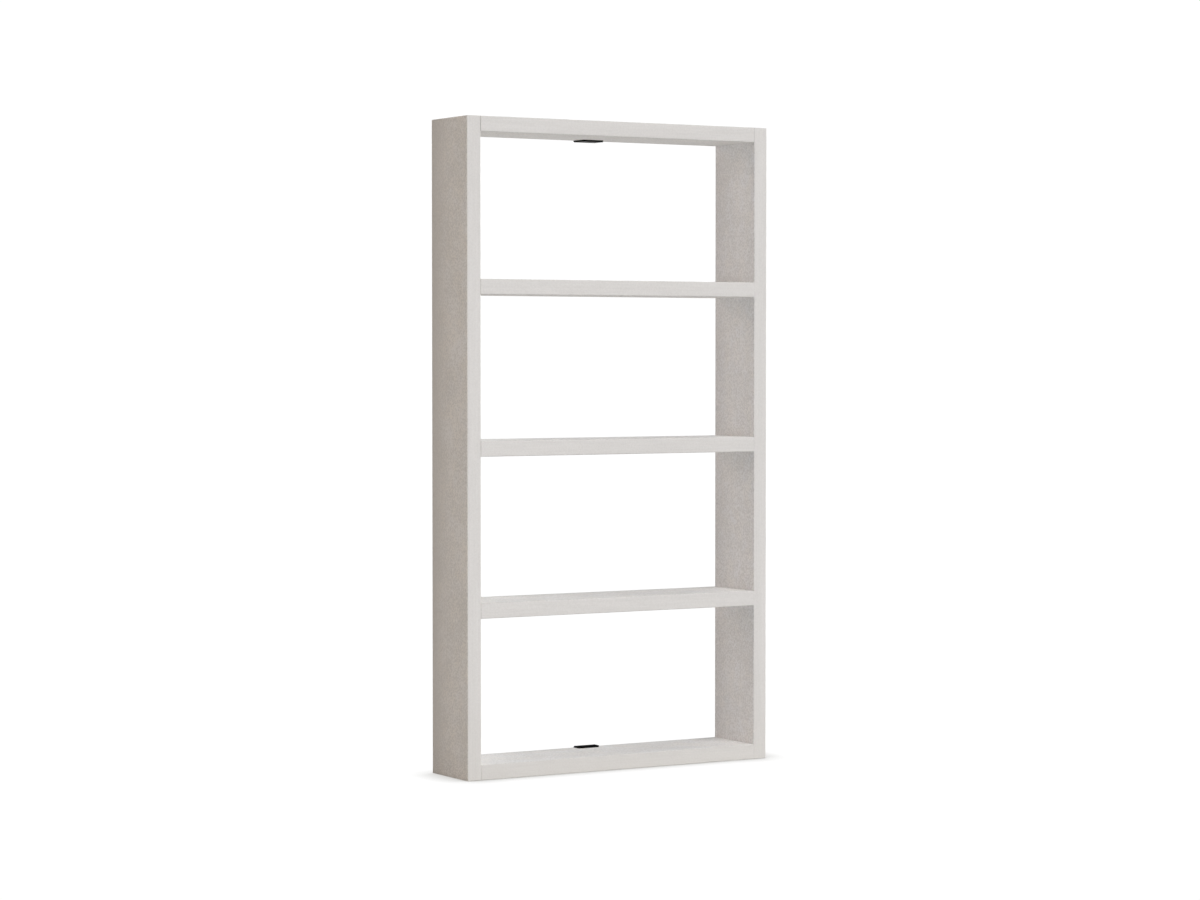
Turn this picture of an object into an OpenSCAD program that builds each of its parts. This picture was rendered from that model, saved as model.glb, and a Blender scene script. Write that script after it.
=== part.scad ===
// Miniature open bookcase: two side panels, top and bottom boards and three shelves,
// butt jointed on hidden dowels, with two small angle plates for hanging it on a wall.
// Frame: origin at the middle of the footprint on the ground, +Z up, front towards -Y,
// back towards +Y, +X to the right when seen from the front. Millimetres.

/* [Bookcase] */
// Overall height
case_h = 146; // [120:1:180]
// Overall width
case_w = 78.7; // [60:0.1:110]
// Overall depth, front to back
case_d = 16.6; // [14:0.1:30]
// Thickness of every board
board_t = 3.4; // [2.8:0.1:4]
// Rounding of the boards' sanded edges
edge_r = 0.2; // [0.1:0.05:0.4]

/* [Dowels] */
// Diameter of a dowel
dowel_dia = 1.2; // [0.8:0.1:1.5]
// Length of a dowel
dowel_len = 5; // [4:0.5:8]
// Length of a dowel that sits in the side panel
dowel_in_side = 1.8; // [1.2:0.1:2.2]
// Distance of each dowel's axis from the board's nearest long edge
dowel_inset = 3.6; // [2.5:0.1:5]
// Chamfer on both ends of a dowel
dowel_chamfer = 0.15; // [0.05:0.05:0.3]
// Glue room past each end of a dowel
dowel_end_gap = 0.1; // [0:0.05:0.2]
// Glue room around a dowel
dowel_side_gap = 0.01; // [0:0.01:0.05]

/* [Fixing plates] */
// Width of a fixing plate
plate_w = 5.4; // [5.2:0.1:8]
// Depth of the upper plate's leg on its board
top_plate_d = 4.4; // [2.4:0.1:6]
// Depth of the lower plate's leg on its board
bottom_plate_d = 2.5; // [2.4:0.1:6]
// Height of the leg that is let into the board's back edge
plate_leg_h = 2.7; // [2.5:0.1:2.7]
// Thickness of the plate
plate_t = 0.4; // [0.3:0.05:0.5]
// Radius of the free corners of both legs
plate_corner_r = 0.3; // [0.2:0.1:1]
// Radius of the hole that takes a wall pin
peg_r = 0.6; // [0.4:0.05:0.7]
// Depth of the wall pin's hole from the back of the bookcase
peg_depth = 4; // [3:0.5:6]

/* [Plate pins] */
// Distance between the two pins of a plate
pin_spacing = 2.6; // [2.2:0.1:2.8]
// Radius of a pin's shank
pin_shank_r = 0.25; // [0.2:0.05:0.3]
// Overall length of a pin
pin_len = 2.6; // [1.8:0.1:2.8]
// Length of a pin's point
pin_point = 0.5; // [0.3:0.1:0.8]
// Radius of a pin's flush, countersunk head
pin_head_r = 0.5; // [0.4:0.05:0.6]
// Depth of a pin's head
pin_head_h = 0.22; // [0.15:0.01:0.25]

/* [Hidden] */

$fn = 48;

LEFT = -1;
RIGHT = 1;
UP = 1;
DOWN = -1;

// Board levels, counted from the bottom board (0) to the top board (4)
level_count = 5;
level_pitch = (case_h - board_t) / (level_count - 1);
levels = [for (i = [0 : level_count - 1]) i * level_pitch + board_t / 2];
bottom_z = levels[0];
lower_z = levels[1];
middle_z = levels[2];
upper_z = levels[3];
top_z = levels[4];

// Clear width between the side panels
inner_w = case_w - 2 * board_t;
half_inner = inner_w / 2;
back_y = case_d / 2;

// Dowel places along the depth, and the depths of their holes
dowel_r = dowel_dia / 2;
dowel_ys = [-case_d / 2 + dowel_inset, case_d / 2 - dowel_inset];
side_hole_depth = dowel_in_side + dowel_end_gap;
board_hole_depth = dowel_len - dowel_in_side + dowel_end_gap;

// Pin places along the width of a plate
pin_xs = [-pin_spacing / 2, pin_spacing / 2];

// How far a cutting shape runs past the face it cuts
past = 0.5;

paint_colour = [0.85, 0.83, 0.80];
dowel_colour = [0.80, 0.66, 0.46];
black_colour = [0.08, 0.08, 0.08];

// Rectangle centred on the origin with all four corners rounded
module round_rect(w, h, r) {
    square([w - 2 * r, h], center = true);
    square([w, h - 2 * r], center = true);
    for (x = [-1, 1], y = [-1, 1])
        translate([x * (w / 2 - r), y * (h / 2 - r)])
            circle(r = r);
}

// Bar along X with its four long edges rounded and its ends square
module eased_bar(length, depth, thickness) {
    rotate([90, 0, 90])
        linear_extrude(height = length, center = true)
            round_rect(depth, thickness, edge_r);
}

// Block with every edge rounded
module eased_block(x, y, z) {
    intersection() {
        linear_extrude(height = z, center = true)
            round_rect(x, y, edge_r);
        rotate([90, 0, 90])
            linear_extrude(height = x, center = true)
                round_rect(y, z, edge_r);
        rotate([90, 0, 0])
            linear_extrude(height = y, center = true)
                round_rect(x, z, edge_r);
    }
}

// Hole for a dowel, from x along dir, at both dowel places of one board level
module dowel_holes(x, z, dir, depth) {
    for (y = dowel_ys)
        translate([x, y, z])
            rotate([0, dir * 90, 0])
                translate([0, 0, -past])
                    cylinder(r = dowel_r, h = depth + past);
}

// Full-height side panel with two blind dowel holes at each board level
module side_panel(side) {
    color(paint_colour)
        difference() {
            translate([side * (half_inner + board_t / 2), 0, case_h / 2])
                eased_block(board_t, case_d, case_h);
            for (z = levels)
                dowel_holes(side * half_inner, z, side, side_hole_depth);
        }
}

// Board between the side panels, with two blind dowel holes in each end
module cross_board(z) {
    difference() {
        translate([0, 0, z])
            eased_bar(inner_w, case_d, board_t);
        for (side = [LEFT, RIGHT])
            dowel_holes(side * half_inner, z, -side, board_hole_depth);
    }
}

// The pair of dowels in one joint
module dowel_pair(side, z) {
    start = -(dowel_len - dowel_in_side);
    body_len = dowel_len - 2 * dowel_chamfer;
    body_r = dowel_r - dowel_side_gap;
    color(dowel_colour)
        for (y = dowel_ys)
            translate([side * half_inner, y, z])
                rotate([0, side * 90, 0])
                    translate([0, 0, start]) {
                        cylinder(r1 = body_r - dowel_chamfer, r2 = body_r, h = dowel_chamfer);
                        translate([0, 0, dowel_chamfer])
                            cylinder(r = body_r, h = body_len);
                        translate([0, 0, dowel_chamfer + body_len])
                            cylinder(r1 = body_r, r2 = body_r - dowel_chamfer, h = dowel_chamfer);
                    }
}

// Outline of a plate leg: square where the plate folds (at y = 0), rounded at its free end
module leg_outline(length) {
    r = plate_corner_r;
    translate([-plate_w / 2, 0])
        square([plate_w, length - r]);
    translate([-plate_w / 2 + r, 0])
        square([plate_w - 2 * r, length]);
    intersection() {
        translate([-plate_w / 2, 0])
            square([plate_w, length]);
        for (side = [LEFT, RIGHT])
            translate([side * (plate_w / 2 - r), length - r])
                circle(r = r);
    }
}

// Leg let into the back edge of a board, drawn for a board that lies above z = 0
module back_leg() {
    translate([0, back_y, 0])
        rotate([90, 0, 0])
            linear_extrude(height = plate_t)
                leg_outline(plate_leg_h);
}

// Hole for a wall pin, square to the back edge and half way up the board
module peg_hole() {
    translate([0, back_y + past, board_t / 2])
        rotate([90, 0, 0])
            cylinder(r = peg_r, h = peg_depth + past);
}

// Puts its children at the two pin places of a plate of the given depth
module at_pins(depth, z) {
    for (x = pin_xs)
        translate([x, back_y - depth / 2, z])
            children();
}

// Angle plate on the lower face of a board whose lower face is at z = 0
module angle_plate(depth) {
    fold_r = plate_t;
    difference() {
        union() {
            translate([0, back_y - fold_r, -plate_t])
                rotate([0, 0, 180])
                    linear_extrude(height = plate_t)
                        leg_outline(depth - fold_r);
            translate([0, back_y - fold_r, 0])
                rotate([0, 90, 0])
                    intersection() {
                        cylinder(r = fold_r, h = plate_w, center = true);
                        translate([0, 0, -plate_w / 2])
                            cube([fold_r, fold_r, plate_w]);
                    }
            back_leg();
        }
        peg_hole();
        at_pins(depth, -plate_t) {
            cylinder(r1 = pin_head_r, r2 = pin_shank_r, h = pin_head_h);
            cylinder(r = pin_shank_r, h = plate_t + past);
        }
    }
}

// Cuts in a board for its angle plate, drawn for a board whose lower face is at z = 0
module plate_cuts(depth) {
    back_leg();
    peg_hole();
    at_pins(depth, -past)
        cylinder(r = pin_shank_r, h = pin_len - plate_t + past);
}

// Pin with a flush countersunk head, point up, with the head's flat top at z = 0
module flush_pin() {
    shaft_len = pin_len - pin_head_h - pin_point;
    cylinder(r1 = pin_head_r, r2 = pin_shank_r, h = pin_head_h);
    translate([0, 0, pin_head_h])
        cylinder(r = pin_shank_r, h = shaft_len);
    translate([0, 0, pin_head_h + shaft_len])
        cylinder(r1 = pin_shank_r, r2 = 0, h = pin_point);
}

// Puts a fitting drawn at z = 0 on a board's lower face (UP) or, turned over, on its upper face (DOWN)
module on_board(z, dir) {
    translate([0, 0, z - dir * board_t / 2])
        mirror([0, 0, dir == DOWN ? 1 : 0])
            children();
}

module fixing_plate(z, dir, depth) {
    color(black_colour)
        on_board(z, dir)
            angle_plate(depth);
}

module plate_pins(z, dir, depth) {
    color(black_colour)
        on_board(z, dir)
            at_pins(depth, -plate_t)
                flush_pin();
}

module left_side_panel() {
    side_panel(LEFT);
}

module right_side_panel() {
    side_panel(RIGHT);
}

module top_board() {
    color(paint_colour)
        difference() {
            cross_board(top_z);
            on_board(top_z, UP)
                plate_cuts(top_plate_d);
        }
}

module upper_shelf() {
    color(paint_colour)
        cross_board(upper_z);
}

module middle_shelf() {
    color(paint_colour)
        cross_board(middle_z);
}

module lower_shelf() {
    color(paint_colour)
        cross_board(lower_z);
}

module bottom_board() {
    color(paint_colour)
        difference() {
            cross_board(bottom_z);
            on_board(bottom_z, DOWN)
                plate_cuts(bottom_plate_d);
        }
}

module top_board_left_dowels() {
    dowel_pair(LEFT, top_z);
}

module top_board_right_dowels() {
    dowel_pair(RIGHT, top_z);
}

module upper_shelf_left_dowels() {
    dowel_pair(LEFT, upper_z);
}

module upper_shelf_right_dowels() {
    dowel_pair(RIGHT, upper_z);
}

module middle_shelf_left_dowels() {
    dowel_pair(LEFT, middle_z);
}

module middle_shelf_right_dowels() {
    dowel_pair(RIGHT, middle_z);
}

module lower_shelf_left_dowels() {
    dowel_pair(LEFT, lower_z);
}

module lower_shelf_right_dowels() {
    dowel_pair(RIGHT, lower_z);
}

module bottom_board_left_dowels() {
    dowel_pair(LEFT, bottom_z);
}

module bottom_board_right_dowels() {
    dowel_pair(RIGHT, bottom_z);
}

module top_fixing_plate() {
    fixing_plate(top_z, UP, top_plate_d);
}

module top_plate_pins() {
    plate_pins(top_z, UP, top_plate_d);
}

module bottom_fixing_plate() {
    fixing_plate(bottom_z, DOWN, bottom_plate_d);
}

module bottom_plate_pins() {
    plate_pins(bottom_z, DOWN, bottom_plate_d);
}

left_side_panel();
right_side_panel();
top_board();
upper_shelf();
middle_shelf();
lower_shelf();
bottom_board();
top_board_left_dowels();
top_board_right_dowels();
upper_shelf_left_dowels();
upper_shelf_right_dowels();
middle_shelf_left_dowels();
middle_shelf_right_dowels();
lower_shelf_left_dowels();
lower_shelf_right_dowels();
bottom_board_left_dowels();
bottom_board_right_dowels();
top_fixing_plate();
top_plate_pins();
bottom_fixing_plate();
bottom_plate_pins();
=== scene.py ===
import math
import bpy
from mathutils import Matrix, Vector


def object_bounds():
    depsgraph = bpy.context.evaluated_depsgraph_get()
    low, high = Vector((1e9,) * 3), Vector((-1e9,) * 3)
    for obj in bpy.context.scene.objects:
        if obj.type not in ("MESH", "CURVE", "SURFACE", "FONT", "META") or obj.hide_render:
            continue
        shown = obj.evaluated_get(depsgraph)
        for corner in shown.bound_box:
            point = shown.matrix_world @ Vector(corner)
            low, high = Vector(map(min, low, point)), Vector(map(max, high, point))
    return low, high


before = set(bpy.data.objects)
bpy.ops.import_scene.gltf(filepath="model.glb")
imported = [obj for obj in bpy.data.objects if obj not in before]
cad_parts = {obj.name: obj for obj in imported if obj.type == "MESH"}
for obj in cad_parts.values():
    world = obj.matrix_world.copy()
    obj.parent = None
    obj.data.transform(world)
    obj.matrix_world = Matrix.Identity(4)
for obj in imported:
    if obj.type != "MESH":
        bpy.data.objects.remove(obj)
cad_low, cad_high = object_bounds()

# Sizes are in metres, and angles in degrees.
MM = 0.001
HEIGHT = cad_high.z - cad_low.z
CENTRE = (cad_low + cad_high) / 2

# For each board: the axis of its grain, how strongly painted shade darkens the coat towards the rear edge,
# as if from a wall behind it, the painted light tint (warmer above 0, cooler below) for the colour of the
# light on it, and how open the hairline crack at each of its ends is
BOARDS = {
    "left_side_panel": ("Z", 1.0, 0.05, 0),
    "right_side_panel": ("Z", 0.3, -0.05, 0),
    "top_board": ("X", 0, 0, 0.55),
    "upper_shelf": ("X", 0, 0, 0),
    "middle_shelf": ("X", 0, 0, 0.2),
    "lower_shelf": ("X", 0, 0, 0),
    "bottom_board": ("X", 0, 0, 0),
}
PLATES = ["top_fixing_plate", "bottom_fixing_plate"]
PINS = ["top_plate_pins", "bottom_plate_pins"]
DOWELS = [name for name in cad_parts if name.endswith("_dowels")]


# Node helpers

def start_material(name):
    """A new material with a Principled shader; returns the material, its tree and the shader."""
    material = bpy.data.materials.new(name)
    material.use_nodes = True
    tree = material.node_tree
    return material, tree, tree.nodes["Principled BSDF"]


def position(tree, stretch=(1, 1, 1), shift=(0, 0, 0)):
    """Object coordinates in metres, scaled along each axis and shifted."""
    source = tree.nodes.new("ShaderNodeTexCoord")
    mapping = tree.nodes.new("ShaderNodeMapping")
    mapping.inputs["Scale"].default_value = stretch
    mapping.inputs["Location"].default_value = shift
    tree.links.new(source.outputs["Object"], mapping.inputs["Vector"])
    return mapping.outputs["Vector"]


def component(tree, vector, axis):
    """One axis of the object coordinates ("Object") or of the surface normal ("Normal")."""
    source = tree.nodes.new("ShaderNodeTexCoord")
    split = tree.nodes.new("ShaderNodeSeparateXYZ")
    tree.links.new(source.outputs[vector], split.inputs["Vector"])
    return split.outputs[axis]


def along(axis, stretch):
    """The scale that draws a noise out along one axis."""
    return tuple(stretch if letter == axis else 1 for letter in "XYZ")


def noise(tree, vector, feature, detail=2.0, roughness=0.5):
    """Noise whose features are about the given size."""
    node = tree.nodes.new("ShaderNodeTexNoise")
    node.inputs["Scale"].default_value = 1 / feature
    node.inputs["Detail"].default_value = detail
    node.inputs["Roughness"].default_value = roughness
    tree.links.new(vector, node.inputs["Vector"])
    return node.outputs["Fac"]


def feed(tree, socket, value):
    """Gives a socket a number, an RGB tuple or another node's output."""
    if isinstance(value, tuple):
        socket.default_value = (*value, 1)
    elif isinstance(value, (int, float)):
        socket.default_value = value
    else:
        tree.links.new(value, socket)


def remap(tree, value, low, high, new_low, new_high):
    """Maps value from low..high to new_low..new_high, clamped."""
    node = tree.nodes.new("ShaderNodeMapRange")
    node.inputs["From Min"].default_value = low
    node.inputs["From Max"].default_value = high
    node.inputs["To Min"].default_value = new_low
    node.inputs["To Max"].default_value = new_high
    tree.links.new(value, node.inputs["Value"])
    return node.outputs["Result"]


def math_node(tree, operation, a, b=0):
    """One Math node; a and b are outputs or numbers."""
    node = tree.nodes.new("ShaderNodeMath")
    node.operation = operation
    feed(tree, node.inputs[0], a)
    feed(tree, node.inputs[1], b)
    return node.outputs["Value"]


def weighted_sum(tree, *terms):
    """The sum of outputs, each times its weight."""
    total = None
    for value, weight in terms:
        part = math_node(tree, "MULTIPLY", value, weight)
        total = part if total is None else math_node(tree, "ADD", total, part)
    return total


def mix_value(tree, factor, first, second):
    """Blends two values, which are outputs or numbers."""
    node = tree.nodes.new("ShaderNodeMix")
    tree.links.new(factor, node.inputs[0])
    feed(tree, node.inputs[2], first)
    feed(tree, node.inputs[3], second)
    return node.outputs[0]


def mix_colour(tree, factor, first, second):
    """Blends two colours, which are outputs or RGB tuples."""
    node = tree.nodes.new("ShaderNodeMix")
    node.data_type = "RGBA"
    tree.links.new(factor, node.inputs[0])
    feed(tree, node.inputs[6], first)
    feed(tree, node.inputs[7], second)
    return node.outputs[2]


def bump(tree, height, distance, normal=None):
    """Bump of the given height, laid over an earlier one if there is one."""
    node = tree.nodes.new("ShaderNodeBump")
    node.inputs["Distance"].default_value = distance
    tree.links.new(height, node.inputs["Height"])
    if normal is not None:
        tree.links.new(normal, node.inputs["Normal"])
    return node.outputs["Normal"]


# Paint

EDGE_LIGHT = (0.940, 0.925, 0.898)
EDGE_DARK = (0.830, 0.815, 0.788)
BROAD_LIGHT = (0.955, 0.944, 0.929)
BROAD_WARM = (0.960, 0.928, 0.880)
BROAD_DARK = (0.790, 0.772, 0.742)
# Painted shade towards the rear edges of the side panels, as from a wall behind them
PAINTED_WALL_SHADE = (0.690, 0.670, 0.640)
# Painted shade on the front and back edges near the floor
PAINTED_FOOT_SHADE = (0.750, 0.732, 0.685)
CRACK = (0.30, 0.28, 0.25)

# Feature sizes: spray grain, fine and broad streaks, warm and cool patches, light and dark patches
STIPPLE = 0.42 * MM
STREAK = 0.40 * MM
BAND = 1.6 * MM
BLOTCH = 4.0 * MM
MOTTLE = 12 * MM

# Scale along the grain, which makes a streak 20 and a band 33 times as long as wide
STREAK_SCALE = 0.05
BAND_SCALE = 0.03

# How far the noise moves from one board to the next, so that no two are alike
BOARD_STEP = (0.61, 0.13, 0.31)

STREAK_RELIEF = 0.010 * MM
STIPPLE_RELIEF = 0.160 * MM
SANDED_RELIEF = 0.15

# The crack starts and is at its darkest this far from the end of the board
CRACK_START = 0.09 * MM
CRACK_FULL = 0.03 * MM

# Where the painted wall shade starts
PAINTED_WALL_SHADE_START = CENTRE.y - 4 * MM
# Where the painted shade near the floor ends, and how strong it is
PAINTED_FOOT_SHADE_END = cad_low.z + HEIGHT / 5
PAINTED_FOOT_SHADE_STRENGTH = 0.36


def narrow_edge_mask(tree):
    """1 on the front and back edges of a board, 0 on its broad faces."""
    depthwise = math_node(tree, "ABSOLUTE", component(tree, "Normal", "Y"))
    return remap(tree, depthwise, 0.55, 0.90, 0, 1)


def painted_wall_shade(tree, strength):
    """Painted shade: rises from 0 in the front half of a panel to the given strength at its rear edge, as if
    a wall behind it shaded it.
    """
    nearness = remap(tree, component(tree, "Object", "Y"), PAINTED_WALL_SHADE_START, cad_high.y, 0, 1)
    return remap(tree, math_node(tree, "POWER", nearness, 2), 0, 1, 0, strength)


def painted_foot_shade(tree):
    """Painted shade on the edges: rises from 0 at a fifth of the height to its full, slight strength at the
    floor.
    """
    return remap(tree, component(tree, "Object", "Z"), cad_low.z, PAINTED_FOOT_SHADE_END, PAINTED_FOOT_SHADE_STRENGTH, 0)


def joint_crack(tree, node, strength):
    """A hairline at both ends of a cross board, where the coat has parted from the side panels."""
    half_length = max(corner[0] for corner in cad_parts[node].bound_box)
    outwards = math_node(tree, "ABSOLUTE", component(tree, "Object", "X"))
    return remap(tree, outwards, half_length - CRACK_START, half_length - CRACK_FULL, 0, strength)


def warmer(colour, amount):
    """Takes the given share of blue, and a third of it of green, out of a colour."""
    red, green, blue = colour
    return red, green * (1 - amount / 3), blue * (1 - amount)


def paint_material(node, seed):
    """Satin off-white paint: stippled by the spray on broad faces, sanded smooth and streaky on edges."""
    grain_axis, painted_shade_strength, painted_light_tint, crack = BOARDS[node]
    material, tree, shader = start_material("paint_" + node)
    shift = tuple(seed * step for step in BOARD_STEP)
    spot = position(tree, shift=shift)
    fine_grain = position(tree, stretch=along(grain_axis, STREAK_SCALE), shift=shift)
    broad_grain = position(tree, stretch=along(grain_axis, BAND_SCALE), shift=shift)
    edge = narrow_edge_mask(tree)
    streak = noise(tree, fine_grain, STREAK, detail=3.0)
    band = noise(tree, broad_grain, BAND, detail=1.0)
    mottle = noise(tree, spot, MOTTLE, detail=3.0)
    blotch = noise(tree, spot, BLOTCH)
    stipple = noise(tree, spot, STIPPLE, roughness=0.6)

    broad_tone = weighted_sum(tree, (stipple, 0.75), (mottle, 0.25))
    # The painted light tint shifts the colours towards warm (above 0) and cool (below 0), standing in for
    # the colour of the light on the board
    broad_light = mix_colour(tree, remap(tree, blotch, 0.35, 0.65, 0, 1),
                             warmer(BROAD_LIGHT, painted_light_tint), warmer(BROAD_WARM, painted_light_tint))
    broad_colour = mix_colour(tree, remap(tree, broad_tone, 0.405, 0.587, 0, 1),
                              warmer(BROAD_DARK, painted_light_tint), broad_light)
    # Painted shade darkens the broad faces towards the rear edge
    if painted_shade_strength:
        broad_colour = mix_colour(tree, painted_wall_shade(tree, painted_shade_strength), broad_colour, warmer(PAINTED_WALL_SHADE, painted_light_tint))
    edge_tone = weighted_sum(tree, (streak, 0.30), (band, 0.25), (stipple, 0.45))
    edge_colour = mix_colour(tree, remap(tree, edge_tone, 0.30, 0.70, 0, 1), EDGE_DARK, EDGE_LIGHT)
    # Painted shade darkens the edges near the floor
    edge_colour = mix_colour(tree, painted_foot_shade(tree), edge_colour, PAINTED_FOOT_SHADE)
    colour = mix_colour(tree, edge, broad_colour, edge_colour)
    if crack:
        colour = mix_colour(tree, joint_crack(tree, node, crack), colour, CRACK)
    tree.links.new(colour, shader.inputs["Base Color"])
    tree.links.new(remap(tree, stipple, 0.3, 0.7, 0.42, 0.58), shader.inputs["Roughness"])
    shader.inputs["Specular IOR Level"].default_value = 0.35

    relief = math_node(tree, "MULTIPLY", stipple, mix_value(tree, edge, 1.0, SANDED_RELIEF))
    normal = bump(tree, streak, STREAK_RELIEF)
    normal = bump(tree, relief, STIPPLE_RELIEF, normal)
    tree.links.new(normal, shader.inputs["Normal"])
    return material


# Wood and metal

WOOD_DARK = (0.50, 0.32, 0.16)
WOOD_LIGHT = (0.70, 0.50, 0.29)
WOOD_PORE = (0.33, 0.19, 0.09)
WOOD_GRAIN = 0.12 * MM
WOOD_PORES = 0.05 * MM
WOOD_RELIEF = 0.010 * MM

BLACK_DARK = (0.0015, 0.0015, 0.0018)
BLACK_LIGHT = (0.004, 0.004, 0.004)
BLACK_FINE = 0.09 * MM
BLACK_BROAD = 0.9 * MM
BLACK_RELIEF = 0.004 * MM
BLACK_STEP = (0.31, 0.17, 0)

# Lowest and highest roughness
PLATE_ROUGHNESS = (0.30, 0.45)
PIN_ROUGHNESS = (0.18, 0.30)


def dowel_material():
    """Bare hardwood dowel rod with its grain along X."""
    material, tree, shader = start_material("dowel_wood")
    grain = noise(tree, position(tree, stretch=along("X", 0.06)), WOOD_GRAIN, detail=4.0)
    pores = noise(tree, position(tree, stretch=along("X", 0.15)), WOOD_PORES)
    colour = mix_colour(tree, remap(tree, grain, 0.35, 0.65, 0, 1), WOOD_DARK, WOOD_LIGHT)
    colour = mix_colour(tree, remap(tree, pores, 0.62, 0.70, 0, 0.6), colour, WOOD_PORE)
    tree.links.new(colour, shader.inputs["Base Color"])
    tree.links.new(remap(tree, grain, 0.3, 0.7, 0.62, 0.78), shader.inputs["Roughness"])
    tree.links.new(bump(tree, grain, WOOD_RELIEF), shader.inputs["Normal"])
    return material


def black_material(node, seed, roughness):
    """Black lacquer over sheet steel, with a fine baked texture."""
    material, tree, shader = start_material("black_" + node)
    spot = position(tree, shift=tuple(seed * step for step in BLACK_STEP))
    fine = noise(tree, spot, BLACK_FINE)
    broad = noise(tree, spot, BLACK_BROAD, detail=3.0)
    colour = mix_colour(tree, remap(tree, broad, 0.35, 0.65, 0, 1), BLACK_DARK, BLACK_LIGHT)
    tree.links.new(colour, shader.inputs["Base Color"])
    shader.inputs["Specular IOR Level"].default_value = 0.08
    tree.links.new(remap(tree, broad, 0.3, 0.7, *roughness), shader.inputs["Roughness"])
    tree.links.new(bump(tree, fine, BLACK_RELIEF), shader.inputs["Normal"])
    return material


def dress(node, material):
    """Gives a CAD node its material."""
    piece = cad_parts[node]
    piece.data.materials.clear()
    piece.data.materials.append(material)


def close_tips(node):
    """Merges the coincident corners of the zero-area triangle at each pin's point, which closes the mesh."""
    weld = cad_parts[node].modifiers.new("close_tips", "WELD")
    weld.mode = "CONNECTED"
    weld.merge_threshold = 0.0001 * MM


def dress_all():
    for seed, node in enumerate(BOARDS, start=1):
        dress(node, paint_material(node, seed))
    for seed, node in enumerate(PLATES, start=1):
        dress(node, black_material(node, seed, PLATE_ROUGHNESS))
    for seed, node in enumerate(PINS, start=1 + len(PLATES)):
        dress(node, black_material(node, seed, PIN_ROUGHNESS))
        close_tips(node)
    rod = dowel_material()
    for node in DOWELS:
        dress(node, rod)


# Stage, light and camera

FLOOR_HALF = 60.0
FLOOR_DARK = (0.64, 0.63, 0.61)
FLOOR_LIGHT = (0.68, 0.67, 0.65)
FLOOR_FIBRE = 0.4 * MM

# White paper and backdrop, a touch over full white, and the colour of the contact shadow painted on the
# paper
WHITE = 1.04
PAPER_WHITE = (1.0, 1.0, 1.0)
PAINTED_CONTACT_SHADOW = (0.60, 0.59, 0.57)
CONTACT_REACH = 9 * MM

# The camera's place in heights from the middle of the base, and its tilt and turn
SENSOR_WIDTH = 36
FOCAL_LENGTH = 94.65
CAMERA_PLACE = (-2.5252, -4.2167, 0.6443)
CAMERA_TILT = 88.24
CAMERA_TURN = -30.876


def make_floor():
    """A wide plain floor. The camera sees seamless white paper, with a contact shadow painted close to the
    bookcase's feet.
    """
    corners = [(x * FLOOR_HALF, y * FLOOR_HALF, cad_low.z) for x, y in ((-1, -1), (1, -1), (1, 1), (-1, 1))]
    mesh = bpy.data.meshes.new("floor")
    mesh.from_pydata(corners, [], [(0, 1, 2, 3)])
    floor = bpy.data.objects.new("floor", mesh)
    bpy.context.scene.collection.objects.link(floor)
    material, tree, shader = start_material("floor_paper")
    fibre = noise(tree, position(tree), FLOOR_FIBRE)
    tree.links.new(mix_colour(tree, fibre, FLOOR_DARK, FLOOR_LIGHT), shader.inputs["Base Color"])
    shader.inputs["Roughness"].default_value = 0.9
    # The contact shadow is painted into the paper's glow from ambient occlusion
    contact = tree.nodes.new("ShaderNodeAmbientOcclusion")
    contact.samples = 16
    contact.inputs["Distance"].default_value = CONTACT_REACH
    openness = remap(tree, contact.outputs["AO"], 0.45, 0.97, 0, 1)
    paper = tree.nodes.new("ShaderNodeEmission")
    tree.links.new(mix_colour(tree, openness, PAINTED_CONTACT_SHADOW, PAPER_WHITE), paper.inputs["Color"])
    paper.inputs["Strength"].default_value = WHITE
    path = tree.nodes.new("ShaderNodeLightPath")
    mix = tree.nodes.new("ShaderNodeMixShader")
    tree.links.new(path.outputs["Is Camera Ray"], mix.inputs["Fac"])
    tree.links.new(shader.outputs["BSDF"], mix.inputs[1])
    tree.links.new(paper.outputs["Emission"], mix.inputs[2])
    tree.links.new(mix.outputs["Shader"], tree.nodes["Material Output"].inputs["Surface"])
    mesh.materials.append(material)


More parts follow.
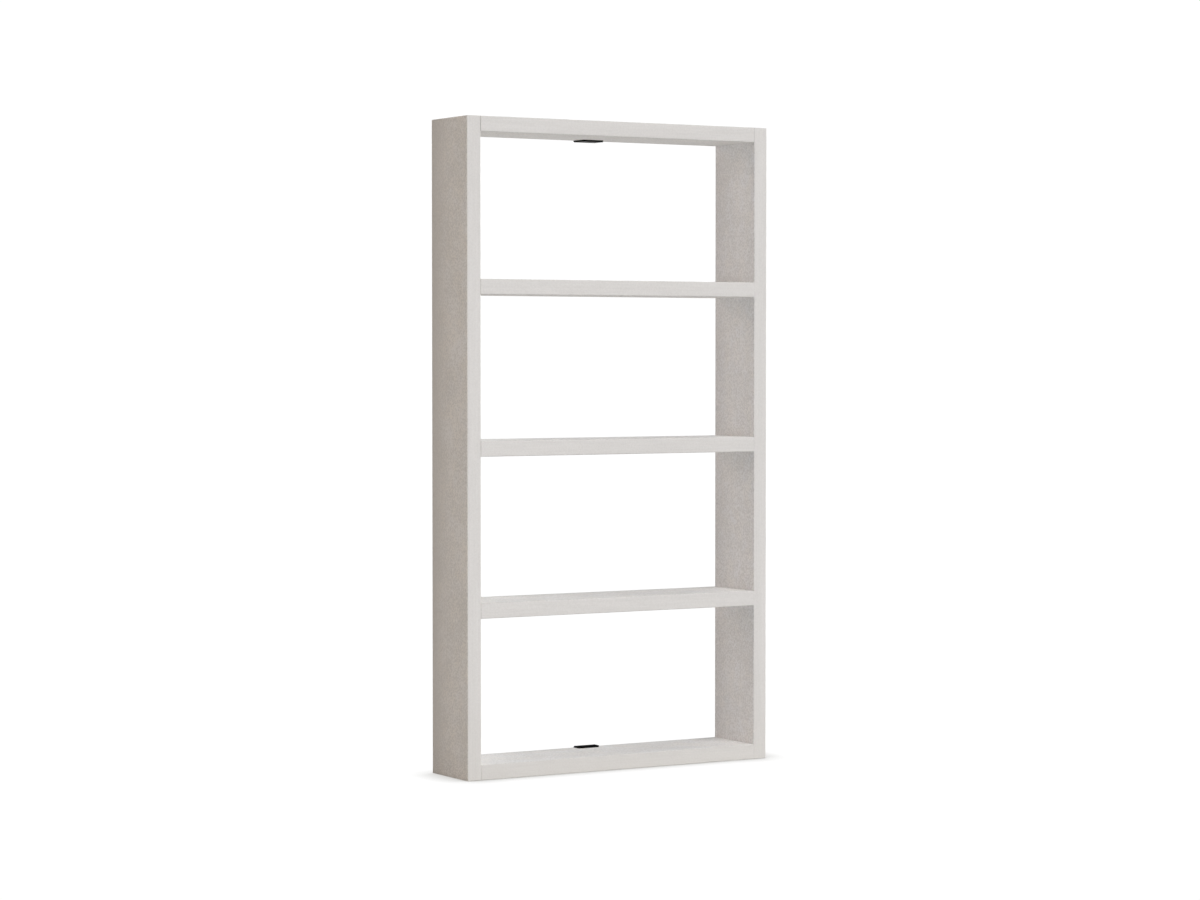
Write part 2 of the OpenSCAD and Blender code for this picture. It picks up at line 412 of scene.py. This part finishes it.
def make_backdrop():
    """The camera sees a plain white backdrop, which gives no light of its own."""
    world = bpy.data.worlds.new("studio")
    bpy.context.scene.world = world
    world.use_nodes = True
    tree = world.node_tree
    backdrop = tree.nodes["Background"]
    backdrop.inputs["Color"].default_value = (WHITE, WHITE, WHITE, 1)
    path = tree.nodes.new("ShaderNodeLightPath")
    tree.links.new(path.outputs["Is Camera Ray"], backdrop.inputs["Strength"])


def make_light(name, azimuth, elevation, softness, strength, colour):
    """A soft distant light. Azimuth 0 comes from the front and 90 from the right."""
    data = bpy.data.lights.new(name, "SUN")
    data.angle = math.radians(softness)
    data.energy = strength
    data.color = colour
    lamp = bpy.data.objects.new(name, data)
    a = math.radians(azimuth)
    e = math.radians(elevation)
    towards_lamp = Vector((math.sin(a) * math.cos(e), -math.cos(a) * math.cos(e), math.sin(e)))
    lamp.rotation_mode = "QUATERNION"
    lamp.rotation_quaternion = towards_lamp.to_track_quat("Z", "Y")
    lamp.location = CENTRE + towards_lamp * 3 * HEIGHT
    bpy.context.scene.collection.objects.link(lamp)


def make_camera():
    """A long lens at two thirds of the height, to the left of the front."""
    data = bpy.data.cameras.new("camera")
    data.sensor_width = SENSOR_WIDTH
    data.lens = FOCAL_LENGTH
    data.clip_start = 0.05
    data.clip_end = 500
    camera = bpy.data.objects.new("camera", data)
    base = Vector((CENTRE.x, CENTRE.y, cad_low.z))
    camera.location = base + HEIGHT * Vector(CAMERA_PLACE)
    camera.rotation_euler = (math.radians(CAMERA_TILT), 0, math.radians(CAMERA_TURN))
    bpy.context.scene.collection.objects.link(camera)
    bpy.context.scene.camera = camera


def make_studio():
    make_floor()
    make_backdrop()
    make_light("high_front", 0, 50, softness=45, strength=2.11, colour=(1.00, 0.98, 0.985))
    make_light("right_window", 90, 15, softness=40, strength=2.50, colour=(0.955, 0.970, 0.995))
    make_light("high_rear", 180, 50, softness=45, strength=0.43, colour=(0.67, 0.84, 1.00))
    make_light("warm_left_rear", -135, 15, softness=40, strength=0.675, colour=(1.00, 0.825, 0.715))
    bpy.context.scene.view_settings.view_transform = "Standard"


make_camera()
dress_all()
make_studio()
